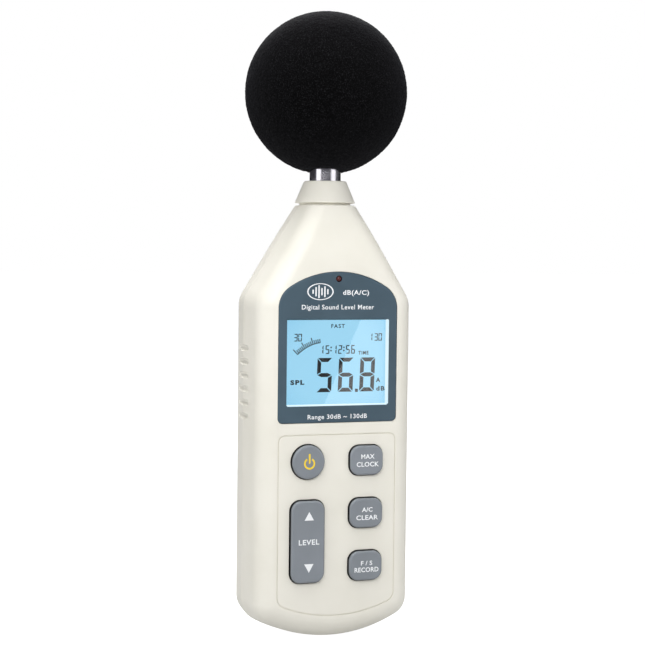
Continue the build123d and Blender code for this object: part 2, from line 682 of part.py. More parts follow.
# ---- sockets and trimmer ------------------------------------------------------------------
def make_usb():
    low, high = BOARD_BACK, BOARD_BACK + 3.9
    body = block(25.0, PORT_OUT, low, high, USB_Z - 3.85, USB_Z + 3.85)
    body -= block(26.5, 40, low + 0.5, high - 0.5, USB_Z - 3.35, USB_Z + 3.35)
    return body + block(26.0, 32.0, low + 1.3, low + 2.1, USB_Z - 2.6, USB_Z + 2.6)


def make_round_socket(z, y, half_z, tall, nose_r, bore_r, deep):
    """A socket on the main board with a round nose in the side wall, bored from the right."""
    body = block(PORT_OUT - deep, 30.5, BOARD_BACK, BOARD_BACK + tall, z - half_z, z + half_z)
    body += rod_x(y, z, nose_r, 30.0, PORT_OUT)
    return body - rod_x(y, z, bore_r, PORT_OUT - deep + 1.2, 40)


parts["usb_socket"] = make_usb()
dc = make_round_socket(DC_Z, -4.3, 4.5, 6.2, 2.8, 2.05, 11.0)
parts["dc_jack"] = dc + rod_x(-4.3, DC_Z, 0.65, PORT_OUT - 10.5, PORT_OUT - 1.0)
parts["output_jack"] = make_round_socket(OUTPUT_Z, -4.8, 3.1, 5.2, 2.4, 1.8, 13.0)
trimmer_x = PORT_OUT - 1.4
housing = block(
    trimmer_x - 3.4, trimmer_x, BOARD_BACK, BOARD_BACK + 6.2, TRIMMER_Z - 3.1, TRIMMER_Z + 3.1
)
parts["calibration_trimmer"] = housing - rod_x(-4.2, TRIMMER_Z, 1.35, trimmer_x - 2.2, 40)
rotor = rod_x(-4.2, TRIMMER_Z, 1.3, trimmer_x - 2.1, trimmer_x + 0.6)
rotor = fillet(rotor.edges().filter_by(GeomType.CIRCLE).sort_by(Axis.X)[-1], 0.15)
parts["trimmer_rotor"] = rotor - block(trimmer_x, 33, -4.45, -3.95, TRIMMER_Z - 2, TRIMMER_Z + 2)


# ---- keypad -------------------------------------------------------------------------------
def dome(x, z):
    """A collapsible silicone cup that returns a key."""
    drawn = Pos(x, z) * Circle(4.4)
    skirt = slab(drawn, MAT_FRONT - 0.4, MAT_FRONT)
    axis = Pos(x, (DOME_TOP + MAT_FRONT) / 2 - 0.2, z) * Rot(90, 0, 0)
    wall = axis * Cone(4.0, 2.8, MAT_FRONT - DOME_TOP - 0.4)
    room = axis * Cone(3.4, 2.2, MAT_FRONT - DOME_TOP - 0.4)
    hollow = rod_y(x, z, 3.4, MAT_FRONT - 0.4, MAT_FRONT + 1)
    cup = (skirt + wall) - hollow - (room & rod_y(x, z, 9, CEILING_INNER, 0))
    return cup


def pill(x, z):
    return rod_y(x, z, 1.8, CEILING_INNER, PILL_END)


def pressed_cap(name, flange):
    """A key cap with its front edge rounded, its retaining flange and its stem."""
    top = -FRONT_DEPTH - KEY_PROUD
    cap = slab(key_outline(name), top, -14.0)
    rim = cap.faces().sort_by(Axis.Y)[0].outer_wire().edges()
    cap = fillet(rim, KEY_EDGE)
    if flange:
        cap += slab(key_outline(name, 1.0), -15.0, -14.0)
    return cap


mat = slab(rounded(23.0, 17.5, 84.0, 2.0), MAT_FRONT, BOARD_FRONT)
dome_places = list(KEYS.values()) + ROCKER_DOMES
holes = [rod_y(x, z, 3.4, -12, -8) for x, z in dome_places]
holes += [rod_y(x, z, 3.2, -12, -8) for x, z in CASE_SCREWS]
parts["keypad_mat"] = mat.cut(*holes)

for name, (x, z) in KEYS.items():
    parts[f"{name}_key"] = pressed_cap(name, True) + rod_y(x, z, 2.4, STEM_START, DOME_TOP)
    parts[f"{name}_dome"] = dome(x, z)
    parts[f"{name}_pill"] = pill(x, z)

rocker = pressed_cap("level", False)
stems = [rod_y(x, z, 2.4, -14.1, DOME_TOP) for x, z in ROCKER_DOMES]
pins = rod_x(PIVOT_Y, ROCKER_Z, PIVOT_R, LEFT_X - KEY_WIDTH / 2 - 2.0, LEFT_X + KEY_WIDTH / 2 + 2.0)
hub = block(LEFT_X - 6.9, LEFT_X + 6.9, -14.5, -12.2, ROCKER_Z - 1.6, ROCKER_Z + 1.6)
parts["level_rocker"] = rocker.fuse(*stems, pins, hub)
parts["level_domes"] = Compound([dome(x, z) for x, z in ROCKER_DOMES])
parts["level_pills"] = Compound([pill(x, z) for x, z in ROCKER_DOMES])


# ---- write --------------------------------------------------------------------------------
for name, shape in parts.items():
    export_step(TO_ROW * Compound(shape.solids()), f"parts/{name}.step")
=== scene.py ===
"""Handheld sound level meter: finishes, printing, display, foam windscreen and small wire parts.

Lengths in this file are millimetres until they reach Blender, which works in metres.
"""

from math import cos, pi, radians, sin

import bmesh
import bpy
from mathutils import Matrix, Vector
from mathutils.bvhtree import BVHTree


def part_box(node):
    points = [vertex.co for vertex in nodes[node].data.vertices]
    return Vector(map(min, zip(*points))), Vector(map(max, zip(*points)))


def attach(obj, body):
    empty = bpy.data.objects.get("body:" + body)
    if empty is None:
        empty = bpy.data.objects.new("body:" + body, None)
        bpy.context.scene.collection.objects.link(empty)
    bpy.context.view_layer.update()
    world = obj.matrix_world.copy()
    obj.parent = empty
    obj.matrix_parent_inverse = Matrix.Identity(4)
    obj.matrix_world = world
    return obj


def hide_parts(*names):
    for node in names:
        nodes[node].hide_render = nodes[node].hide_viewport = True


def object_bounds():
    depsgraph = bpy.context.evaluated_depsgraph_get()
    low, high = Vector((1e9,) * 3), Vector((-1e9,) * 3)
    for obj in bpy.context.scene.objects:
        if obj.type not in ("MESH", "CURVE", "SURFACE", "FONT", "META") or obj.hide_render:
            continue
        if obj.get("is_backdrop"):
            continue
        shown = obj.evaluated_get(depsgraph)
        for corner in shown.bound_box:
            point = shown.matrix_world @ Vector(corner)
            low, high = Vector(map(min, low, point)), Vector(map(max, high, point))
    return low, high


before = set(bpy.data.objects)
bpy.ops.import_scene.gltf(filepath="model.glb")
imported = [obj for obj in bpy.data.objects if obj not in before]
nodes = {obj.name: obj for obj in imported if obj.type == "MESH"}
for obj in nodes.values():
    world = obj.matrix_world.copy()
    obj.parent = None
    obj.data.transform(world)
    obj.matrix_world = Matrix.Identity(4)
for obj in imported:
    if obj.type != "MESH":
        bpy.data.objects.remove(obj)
cad_low, cad_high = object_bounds()

MM = 0.001
scene = bpy.context.scene


# ---- small helpers ------------------------------------------------------------------------
def linear(hex_colour):
    """An sRGB hex colour as linear red, green, blue and alpha."""
    channels = [int(hex_colour[i : i + 2], 16) / 255 for i in (1, 3, 5)]
    low = [c / 12.92 for c in channels]
    high = [((c + 0.055) / 1.055) ** 2.4 for c in channels]
    return [a if c <= 0.04045 else b for c, a, b in zip(channels, low, high)] + [1.0]


def add(tree, kind, inputs=None, **settings):
    """Adds one node, applies its settings, and fills or links its inputs."""
    node = tree.nodes.new(kind)
    for name, value in settings.items():
        setattr(node, name, value)
    for name, value in (inputs or {}).items():
        if isinstance(value, bpy.types.NodeSocket):
            tree.links.new(value, node.inputs[name])
        else:
            node.inputs[name].default_value = value
    return node


def box_mm(node):
    """The lowest and highest corners of a CAD node, in millimetres."""
    low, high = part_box(node)
    return Vector(low) / MM, Vector(high) / MM


def centre_mm(node):
    """The middle of a CAD node's box, in millimetres."""
    low, high = box_mm(node)
    return (low + high) / 2


def new_piece(name, mesh, material, body):
    """Puts a finished mesh in the scene and lets it ride on a body."""
    mesh.name = name
    mesh.materials.clear()
    mesh.materials.append(material)
    piece = bpy.data.objects.new(name, mesh)
    scene.collection.objects.link(piece)
    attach(piece, body)
    return piece


def mesh_from(points, faces):
    """A mesh out of plain lists."""
    mesh = bpy.data.meshes.new("shape")
    mesh.from_pydata([tuple(p) for p in points], [], faces)
    mesh.update()
    return mesh


def outward(mesh):
    """Merges doubles and turns every face to the outside."""
    work = bmesh.new()
    work.from_mesh(mesh)
    bmesh.ops.remove_doubles(work, verts=work.verts, dist=1e-7)
    bmesh.ops.recalc_face_normals(work, faces=work.faces)
    work.to_mesh(mesh)
    work.free()
    return mesh


def join(meshes):
    """One mesh out of several."""
    work = bmesh.new()
    for mesh in meshes:
        work.from_mesh(mesh)
    whole = bpy.data.meshes.new("joined")
    work.to_mesh(whole)
    work.free()
    return whole


# ---- finishes -----------------------------------------------------------------------------
def start_finish(name, colour, roughness, **shader):
    """A material with one Principled shader; its constants sit on the shader's own sockets."""
    material = bpy.data.materials.new(name)
    material.use_nodes = True
    tree = material.node_tree
    tree.nodes.clear()
    constants = {"Base Color": linear(colour), "Roughness": roughness}
    constants.update({key.replace("_", " "): value for key, value in shader.items()})
    surface = add(tree, "ShaderNodeBsdfPrincipled", constants)
    add(tree, "ShaderNodeOutputMaterial", {"Surface": surface.outputs[0]})
    place = add(tree, "ShaderNodeTexCoord").outputs["Object"]
    return material, tree, surface, place


def grain(tree, surface, place, size, depth):
    """Fine relief of one size, in millimetres, such as a spark-eroded mould leaves."""
    speckle = add(
        tree,
        "ShaderNodeTexNoise",
        {"Vector": place, "Scale": 1 / (size * MM), "Detail": 2.0, "Roughness": 0.6},
    )
    bump = add(tree, "ShaderNodeBump", {"Height": speckle.outputs[0], "Distance": depth * MM})
    tree.links.new(bump.outputs[0], surface.inputs["Normal"])


# Noise keeps to the middle of its range, so a mottle runs between these two shares of it.
MOTTLE_LOW = 0.35
MOTTLE_HIGH = 0.65


def mottle(tree, place, size, low, high):
    """A slow change between two values or two colours over a distance in millimetres."""
    clouds = add(
        tree,
        "ShaderNodeTexNoise",
        {"Vector": place, "Scale": 1 / (size * MM), "Detail": 3.0},
    )
    if isinstance(low, str):
        mixed = add(tree, "ShaderNodeValToRGB", {"Fac": clouds.outputs[0]})
        mixed.color_ramp.elements[0].position = MOTTLE_LOW
        mixed.color_ramp.elements[0].color = linear(low)
        mixed.color_ramp.elements[1].position = MOTTLE_HIGH
        mixed.color_ramp.elements[1].color = linear(high)
        return mixed.outputs[0]
    spread = add(
        tree,
        "ShaderNodeMapRange",
        {0: clouds.outputs[0], 1: MOTTLE_LOW, 2: MOTTLE_HIGH, 3: low, 4: high},
    )
    return spread.outputs[0]


def moulded(name, dark, light, roughness, grain_size, grain_depth, **shader):
    """Injection-moulded thermoplastic: mould grain, a faint flow mottle, a satin skin."""
    material, tree, surface, place = start_finish(name, light, roughness, **shader)
    tree.links.new(mottle(tree, place, 18, dark, light), surface.inputs["Base Color"])
    sheen = mottle(tree, place, 6, roughness - 0.05, roughness + 0.05)
    tree.links.new(sheen, surface.inputs["Roughness"])
    grain(tree, surface, place, grain_size, grain_depth)
    return material


def casing_abs():
    # Moulded ABS, spark-eroded tool: a warm off-white with an eggshell grain of about 0.4 mm.
    return moulded("abs_warm_white", "#ebe8dc", "#efece1", 0.42, 0.4, 0.010)


def bezel_abs():
    # Moulded ABS, slate blue, finer grain than the casing, so it looks flatter and darker.
    return moulded(
        "abs_slate_blue", "#40535f", "#465a67", 0.5, 0.25, 0.006, Specular_IOR_Level=0.35
    )


def rubber(name, dark, light):
    # Hard silicone rubber with a matt coating: soft highlights that spread over rounded edges.
    return moulded(name, dark, light, 0.44, 0.22, 0.005, Specular_IOR_Level=0.55)


def rubber_with_painted_side_shade(name, dark, light, shade_start, shade_end):
    # The same rubber with painted shade: its grey darkens to black down the sides, standing in for
    # the shade in the gap round each key.
    material = rubber(name, dark, light)
    tree = material.node_tree
    surface = next(n for n in tree.nodes if n.type == "BSDF_PRINCIPLED")
    rubber_colour = surface.inputs["Base Color"].links[0].from_socket
    place = add(tree, "ShaderNodeTexCoord").outputs["Object"]
    depth = add(tree, "ShaderNodeSeparateXYZ", {0: place}).outputs[1]
    unshaded_share = add(
        tree,
        "ShaderNodeMapRange",
        {0: depth, 1: shade_start * MM, 2: shade_end * MM, 3: 1.0, 4: 0.0},
    )
    shaded = add(
        tree, "ShaderNodeVectorMath", {0: rubber_colour, "Scale": unshaded_share.outputs[0]}, operation="SCALE"
    )
    tree.links.new(shaded.outputs[0], surface.inputs["Base Color"])
    return material


def window_acrylic():
    # Cast acrylic sheet, polished: clear, with a faint mirror image of the room.
    material, _, _, _ = start_finish(
        "acrylic_clear", "#ffffff", 0.0, IOR=1.49, Transmission_Weight=1.0
    )
    return material


# The backlight's colour changes over 1 / 38 of a metre, from the middle of the glass.
GLOW_SCALE = 38


def backlight_and_painted_glow(name, colour, edge_colour, centre, strength):
    # Liquid crystal cell on an edge-lit guide: an even pale blue that deepens at the rim.
    # Also used as a painted highlight on the opening's lower and right bevel bars, which glow
    # though they are no lamp.
    material, tree, surface, place = start_finish(name, "#1c2a33", 0.3)
    away = add(
        tree,
        "ShaderNodeMapping",
        {"Vector": place, "Location": [-c * GLOW_SCALE for c in centre], "Scale": [GLOW_SCALE] * 3},
    )
    glow = add(
        tree, "ShaderNodeTexGradient", {"Vector": away.outputs[0]}, gradient_type="SPHERICAL"
    )
    ramp = add(tree, "ShaderNodeValToRGB", {"Fac": glow.outputs[0]})
    ramp.color_ramp.elements[0].color = linear(edge_colour)
    ramp.color_ramp.elements[1].color = linear(colour)
    ramp.color_ramp.elements[1].position = 0.3
    tree.links.new(ramp.outputs[0], surface.inputs["Emission Color"])
    surface.inputs["Emission Strength"].default_value = strength
    surface.inputs["Specular IOR Level"].default_value = 0.2
    return material


def printing_ink(name, colour, roughness=0.5):
    # Screen-printed ink, some 20 micrometres thick: solid colour with slightly ragged sheen.
    material, tree, surface, place = start_finish(name, colour, roughness)
    sheen = mottle(tree, place, 0.6, roughness - 0.08, roughness + 0.08)
    tree.links.new(sheen, surface.inputs["Roughness"])
    grain(tree, surface, place, 0.12, 0.002)
    return material


# Turning marks are some 0.05 mm apart; drawn at 0.35 mm so that they show.
RING_PITCH = 0.35
RING_DEPTH = 0.0006


def turned_metal(name, colour, roughness):
    # Metal turned or ground round the long axis: fine rings that stretch each highlight upward.
    material, tree, surface, place = start_finish(name, colour, roughness, Metallic=1.0)
    flat = add(tree, "ShaderNodeMapping", {"Vector": place, "Scale": (0.02, 0.02, 1.0)})
    rings = add(
        tree,
        "ShaderNodeTexNoise",
        {"Vector": flat.outputs[0], "Scale": 1 / (RING_PITCH * MM), "Detail": 3.0},
    )
    bump = add(tree, "ShaderNodeBump", {"Height": rings.outputs[0], "Distance": RING_DEPTH * MM})
    tree.links.new(bump.outputs[0], surface.inputs["Normal"])
    worn = mottle(tree, place, 4, roughness - 0.04, roughness + 0.05)
    tree.links.new(worn, surface.inputs["Roughness"])
    return material


def plated_metal(name, colour, roughness):
    # Stamped or drawn metal with a plated skin: soft mirror with a faint orange peel.
    material, tree, surface, place = start_finish(name, colour, roughness, Metallic=1.0)
    worn = mottle(tree, place, 2.5, roughness - 0.06, roughness + 0.08)
    tree.links.new(worn, surface.inputs["Roughness"])
    grain(tree, surface, place, 0.5, 0.003)
    return material


def solder_mask():
    # Glass-epoxy board under green solder mask: glossy, with the glass weave just showing.
    material, tree, surface, place = start_finish("board_solder_mask", "#1e5a37", 0.3)
    weave = add(
        tree,
        "ShaderNodeTexWave",
        {"Vector": place, "Scale": 1 / (1.4 * MM), "Distortion": 0.6, "Detail": 1.0},
        bands_direction="DIAGONAL",
    )
    bump = add(tree, "ShaderNodeBump", {"Height": weave.outputs[0], "Distance": 0.004 * MM})
    tree.links.new(bump.outputs[0], surface.inputs["Normal"])
    tree.links.new(mottle(tree, place, 3, "#1a5232", "#226640"), surface.inputs["Base Color"])
    return material


def cell_sleeve(low, high):
    # Heat-shrunk PVC sleeve of a dry cell: glossy dark grey with a copper-coloured band.
    material, tree, surface, place = start_finish("cell_sleeve_pvc", "#24272b", 0.25)
    surface.inputs["Coat Weight"].default_value = 0.5
    height = add(tree, "ShaderNodeSeparateXYZ", {0: place}).outputs[2]
    span = add(tree, "ShaderNodeMapRange", {0: height, 1: low * MM, 2: high * MM})
    bands = add(tree, "ShaderNodeValToRGB", {"Fac": span.outputs[0]})
    bands.color_ramp.interpolation = "CONSTANT"
    bands.color_ramp.elements[0].color = linear("#24272b")
    bands.color_ramp.elements[1].position = 0.66
    bands.color_ramp.elements[1].color = linear("#a8642c")
    edge = bands.color_ramp.elements.new(0.93)
    edge.color = linear("#c9ccd0")
    tree.links.new(bands.outputs[0], surface.inputs["Base Color"])
    grain(tree, surface, place, 1.5, 0.01)
    return material


def open_foam():
    # Reticulated polyurethane foam, black: light dies in the pores and catches on cell edges.
    material, tree, surface, place = start_finish(
        "polyurethane_foam_black", "#060607", 0.9, Specular_IOR_Level=0.03, Sheen_Weight=0.08
    )
    surface.inputs["Sheen Roughness"].default_value = 0.55
    surface.inputs["Sheen Tint"].default_value = linear("#8c8c96")
    specks = add(
        tree,
        "ShaderNodeTexNoise",
        {"Vector": place, "Scale": 1 / (0.4 * MM), "Detail": 1.0},
    )
    ramp = add(tree, "ShaderNodeValToRGB", {"Fac": specks.outputs[0]})
    ramp.color_ramp.elements[0].position = 0.52
    ramp.color_ramp.elements[0].color = linear("#030303")
    ramp.color_ramp.elements[1].position = 0.8
    ramp.color_ramp.elements[1].color = linear("#242426")
    tree.links.new(ramp.outputs[0], surface.inputs["Base Color"])
    grain(tree, surface, place, 0.5, 0.2)
    return material


def led_epoxy():
    # Diffused epoxy lens, dark red and unlit: glossy dome with colour deep inside.
    material, _, _, _ = start_finish("led_epoxy_red", "#5c1412", 0.12, Transmission_Weight=0.3)
    return material


cell_low, cell_high = box_mm("battery_1")
glass_low, glass_high = box_mm("lcd_glass")
glass_middle = (glass_low + glass_high) / 2 * MM
key_front = box_mm("max_key")[0].y
# Painted shade on the keys: their grey darkens to black between these depths behind the key front.
SIDE_SHADE_START = 0.75
SIDE_SHADE_END = 1.3

finishes = {
    "casing_abs": casing_abs(),
    "bezel_plate": bezel_abs(),
    "window_clear": window_acrylic(),
    "lcd_cell": backlight_and_painted_glow("lcd_cell_lit", "#a6e2ff", "#9cdbfb", glass_middle, 0.93),
    # Acrylic moulded in a polished tool: nearly smooth, it carries light along.
    "light_guide": moulded("light_guide_acrylic", "#dfe9ee", "#eef4f7", 0.2, 0.5, 0.002),
    # White ABS frame, satin, so it throws stray light back into the guide.
    "lcd_holder": moulded("holder_abs_white", "#dcdcd6", "#e4e4de", 0.45, 0.4, 0.006),
    # Layered conductive rubber, cut to strips: matt pink.
    "contact_rubber": moulded("zebra_rubber", "#c9a4a8", "#d6b3b6", 0.6, 0.3, 0.004),
    "board_green": solder_mask(),
    # Filled epoxy, transfer moulded: dull charcoal with a very fine grain.
    "chip_epoxy": moulded("chip_moulding_epoxy", "#17181a", "#1f2022", 0.55, 0.15, 0.006),
    "can_steel": plated_metal("crystal_can_nickel", "#c4c3bf", 0.28),
    # Ferrite, pressed and sintered: a dry dark grey.
    "ferrite": moulded("ferrite_sintered", "#2b2d30", "#35373b", 0.6, 0.2, 0.01),
    "capacitor_can": turned_metal("capacitor_can_aluminium", "#c9cbcd", 0.3),
    # Ceramic, pressed and fired: smooth tan bodies.
    "component_ceramic": moulded("ceramic_fired", "#9a8262", "#a98f6c", 0.5, 0.1, 0.003),
    "screw_steel": plated_metal("screw_zinc_plated", "#b4b6b8", 0.3),
    "insert_brass": turned_metal("brass_turned", "#c8a04c", 0.28),
    "cell_jacket": cell_sleeve(cell_low.z, cell_high.z),
    "contact_nickel": plated_metal("spring_steel_nickel", "#c6c4bf", 0.25),
    "microphone_steel": turned_metal("stainless_ground", "#d6d3da", 0.2),
    # PTFE, turned: soft white with a waxy look.
    "insulator_white": moulded("ptfe_turned", "#e6e6e2", "#f0f0ec", 0.4, 0.3, 0.003),
    "diaphragm_foil": plated_metal("nickel_foil", "#cfccc6", 0.12),
    # Nitrile rubber, moulded: matt black.
    "bush_rubber": moulded("nitrile_rubber", "#1c1c1d", "#232324", 0.6, 0.3, 0.008),
    # PVC drawn over wire: smooth mid grey.
    "lead_grey": moulded("lead_pvc_grey", "#6e7072", "#7a7c7e", 0.45, 0.4, 0.005),
    "led_red": led_epoxy(),
    # Glass-filled nylon, moulded: black with a faint gloss.
    "jack_black": moulded("nylon_black", "#151617", "#1b1c1e", 0.4, 0.3, 0.006),
    # Thermoset body of a trimmer, moulded: even mid blue.
    "trimmer_blue": moulded("trimmer_thermoset_blue", "#2a5a9a", "#3266aa", 0.4, 0.2, 0.004),
    # Nylon, moulded: warm white, so its slot shows.
    "rotor_white": moulded("rotor_nylon_white", "#dedcd2", "#e8e6dc", 0.4, 0.2, 0.004),
    "mat_silicone": rubber("silicone_mat_grey", "#9a9da0", "#a2a5a8"),
    # Carbon-loaded rubber, punched from sheet: flat black.
    "carbon_pill": moulded("carbon_rubber", "#101011", "#161617", 0.7, 0.2, 0.006),
    "key_grey": rubber_with_painted_side_shade(
        "silicone_key_grey_side_shade_painted", "#7f858b", "#868c93", key_front + SIDE_SHADE_START, key_front + SIDE_SHADE_END
    ),
    "foam_black": open_foam(),
}

for node in nodes.values():
    for place in node.material_slots:
        place.material = finishes[place.material.name.split(".")[0]]

white_ink = printing_ink("ink_white", "#f4f6f8")
yellow_ink = printing_ink("ink_yellow", "#f6d53a")
segment_ink = printing_ink("lcd_segment_dye", "#10161a", 0.4)
# Painted highlight for the opening's lower and right bevel bars: a glow where the bevel catches
# light.
painted_edge_glow = backlight_and_painted_glow("window_edge_painted_glow", "#e9fbff", "#dff6ff", glass_middle, 0.95)


# ---- printing -----------------------------------------------------------------------------
# Ink stands this far out of the surface and reaches as far into it.
INK = 0.03
# Artwork is laid on from this far in front of the origin.
IN_FRONT = -80
INWARD = Vector((0, 1, 0))


def surface_of(node):
    """A search tree over a CAD node's faces, to lay ink on."""
    mesh = nodes[node].data
    corners = [v.co for v in mesh.vertices]
    return BVHTree.FromPolygons(corners, [list(p.vertices) for p in mesh.polygons])


def slab_of(outlines):
    """Closed flat plates, one for each outline of (across, up) points, thickness 0 to 1."""
    points = []
    faces = []
    for outline in outlines:
        first = len(points)
        count = len(outline)
        points += [(u, v, 0) for u, v in outline] + [(u, v, 1) for u, v in outline]
        faces.append([first + i for i in reversed(range(count))])
        faces.append([first + count + i for i in range(count)])
        for i in range(count):
            j = (i + 1) % count
            faces.append([first + i, first + j, first + count + j, first + count + i])
    return outward(mesh_from(points, faces))


def words_mesh(words, width, height, weight=0.0, spacing=1.0):
    """Lettering as closed plates, width by height, centred on the origin, thickness 0 to 1."""
    curve = bpy.data.curves.new("words", "FONT")
    curve.body = words
    curve.offset = weight
    curve.extrude = 0.5
    curve.resolution_u = 3
    curve.space_character = spacing
    holder = bpy.data.objects.new("words", curve)
    scene.collection.objects.link(holder)
    bpy.context.view_layer.update()
    depsgraph = bpy.context.evaluated_depsgraph_get()
    mesh = bpy.data.meshes.new_from_object(holder.evaluated_get(depsgraph))
    bpy.data.objects.remove(holder)
    bpy.data.curves.remove(curve)
    low = Vector((min(v.co[i] for v in mesh.vertices) for i in range(3)))
    high = Vector((max(v.co[i] for v in mesh.vertices) for i in range(3)))
    for v in mesh.vertices:
        v.co.x = ((v.co.x - low.x) / (high.x - low.x) - 0.5) * width
        v.co.y = ((v.co.y - low.y) / (high.y - low.y) - 0.5) * height
        v.co.z = (v.co.z - low.z) / (high.z - low.z)
    return outward(mesh)


def moved(mesh, across, up):
    """Shifts flat artwork."""
    for v in mesh.vertices:
        v.co.x += across
        v.co.y += up
    return mesh


def lay_on(mesh, surface, across, up):
    """Wraps flat artwork onto a front surface, its origin at across and up, in millimetres."""
    for v in mesh.vertices:
        start = Vector((across + v.co.x, IN_FRONT, up + v.co.y)) * MM
        hit = surface.ray_cast(start, INWARD)[0]
        v.co = hit + INWARD * (0.5 - v.co.z) * INK * MM * 2
    return outward(mesh)


def printed(name, meshes, node, body, ink, across, up):
    """Prints artwork on the front of a node."""
    art = lay_on(join(meshes), surface_of(node), across, up)
    new_piece(name, art, ink, body)


def half_circle(radius, start, middle):
    """Nine points round half a circle, from the start angle on."""
    angles = [start + pi * i / 8 for i in range(9)]
    return [(middle[0] + radius * cos(a), middle[1] + radius * sin(a)) for a in angles]


def ring_band(inner, outer, start, end, count, squash=1.0):
    """A flat curved band between two radii, as a row of four-sided plates made into one."""
    points = []
    faces = []
    for i in range(count + 1):
        a = start + (end - start) * i / count
        for z in (0, 1):
            points.append((inner * cos(a), inner * sin(a) * squash, z))
            points.append((outer * cos(a), outer * sin(a) * squash, z))
    for i in range(count):
        p = 4 * i
        faces += [[p, p + 1, p + 5, p + 4], [p + 2, p + 6, p + 7, p + 3]]
        faces += [[p, p + 4, p + 6, p + 2], [p + 1, p + 3, p + 7, p + 5]]
    last = 4 * count
    if end - start < 2 * pi - 1e-6:
        faces += [[0, 2, 3, 1], [last, last + 1, last + 3, last + 2]]
    return outward(mesh_from(points, faces))


def rounded_bar(x, half_width, half_height):
    """The outline of an upright bar with round ends."""
    top = half_circle(half_width, 0, (x, half_height - half_width))
    bottom = half_circle(half_width, pi, (x, half_width - half_height))
    return top + bottom


# ---- key legends --------------------------------------------------------------------------
# For each line of a key: its words, width, height and place above the key's middle.
KEY_WORDS = {
    "max": (("MAX", 5.8, 1.85, 1.6), ("CLOCK", 9.6, 1.95, -1.55)),
    "weighting": (("A/C", 4.6, 1.85, 1.4), ("CLEAR", 9.4, 1.95, -1.8)),
    "speed": (("F / S", 4.9, 1.8, 1.1), ("RECORD", 10.4, 1.95, -1.6)),
}
KEY_WORDS_ASIDE = 0.25
LEGEND_WEIGHT = 0.02
for key, lines in KEY_WORDS.items():
    middle = centre_mm(f"{key}_key")
    art = []
    for words, wide, tall, up in lines:
        art.append(moved(words_mesh(words, wide, tall, LEGEND_WEIGHT, 1.05), KEY_WORDS_ASIDE, up))
    printed(f"{key}_legend", art, f"{key}_key", f"{key}_key_body", white_ink, middle.x, middle.z)

power = centre_mm("power_key")
POWER_MARK_R = 2.36
POWER_STROKE = 0.72
POWER_OPENING = radians(32)
POWER_BAR_HALF = 2.0
POWER_BAR_UP = 1.95
POWER_MARK_ASIDE = 0.2
POWER_MARK_DROP = 0.5
power_art = [
    ring_band(POWER_MARK_R - POWER_STROKE, POWER_MARK_R, pi / 2 + POWER_OPENING,
              2.5 * pi - POWER_OPENING, 40),
    moved(slab_of([rounded_bar(0, POWER_STROKE / 2, POWER_BAR_HALF)]), 0.0, POWER_BAR_UP),
]
printed(
    "power_legend", power_art, "power_key", "power_key_body", yellow_ink,
    power.x + POWER_MARK_ASIDE, power.z - POWER_MARK_DROP,
)

rocker = centre_mm("level_rocker")
ARROW_HALF = 1.98
ARROW_TALL = 3.5
ARROW_OFFSET = 10.5
LEVEL_ASIDE = 0.3
rocker_art = [words_mesh("LEVEL", 8.7, 2.15, LEGEND_WEIGHT, 1.1)]
for way in (1, -1):
    tip = way * (ARROW_OFFSET + ARROW_TALL / 2)
    foot = way * (ARROW_OFFSET - ARROW_TALL / 2)
    rocker_art.append(slab_of([[(-ARROW_HALF, foot), (ARROW_HALF, foot), (0, tip)]]))
printed(
    "level_legend", rocker_art, "level_rocker", "level_rocker_body", white_ink,
    rocker.x + LEVEL_ASIDE, rocker.z,
)

# ---- bezel printing -----------------------------------------------------------------------
# For each text: its words, width, height, weight, and its place across and above the bezel's foot.
BEZEL_WORDS = {
    "bezel_title": ("Digital Sound Level Meter", 30.8, 2.5, 0.012, -0.3, 46.05),
    "bezel_range": ("Range 30dB ~ 130dB", 25.4, 2.4, 0.012, -0.1, 2.15),
    "bezel_weighting": ("dB(A/C)", 11.2, 2.5, 0.02, 7.3, 51.9),
}
bezel_low = box_mm("display_bezel")[0]
for name, (words, wide, tall, weight, across, up) in BEZEL_WORDS.items():
    art = [words_mesh(words, wide, tall, weight, 1.1)]
    printed(name, art, "display_bezel", "root", white_ink, across, bezel_low.z + up)

# A plain sound-wave mark: bars of these half heights inside an oval.
SIGNAL = (0.9, 1.9, 2.6, 1.5, 2.2, 1.1)
SIGNAL_PITCH = 1.25
SIGNAL_STROKE = 0.6
OVAL_INNER = 5.05
OVAL_OUTER = 5.6
OVAL_SQUASH = 0.60
EMBLEM_ASIDE = -7.9
EMBLEM_UP = 52.5
emblem = [ring_band(OVAL_INNER, OVAL_OUTER, 0, 2 * pi, 72, OVAL_SQUASH)]
for i, tall in enumerate(SIGNAL):
    emblem.append(slab_of([rounded_bar((i - 2.5) * SIGNAL_PITCH, SIGNAL_STROKE / 2, tall)]))
emblem_height = bezel_low.z + EMBLEM_UP
printed("bezel_emblem", emblem, "display_bezel", "root", white_ink, EMBLEM_ASIDE, emblem_height)

# ---- liquid crystal picture ---------------------------------------------------------------
# Segments: a top, b and c right, d bottom, e and f left, g middle.
SEGMENTS = {
    "0": "abcdef",
    "1": "bc",
    "2": "abged",
    "3": "abgcd",
    "5": "afgcd",
    "6": "afgedc",
    "8": "abcdefg",
}
SLANT = 0.035
DISPLAY_FACE = glass_low.y - 0.01
SEGMENT_DEPTH = 0.04


def lay_flat(mesh):
    """Stands flat artwork upright on the face of the display, facing the front."""
    for v in mesh.vertices:
        v.co = Vector((v.co.x, DISPLAY_FACE - v.co.z * SEGMENT_DEPTH, v.co.y)) * MM
    return outward(mesh)


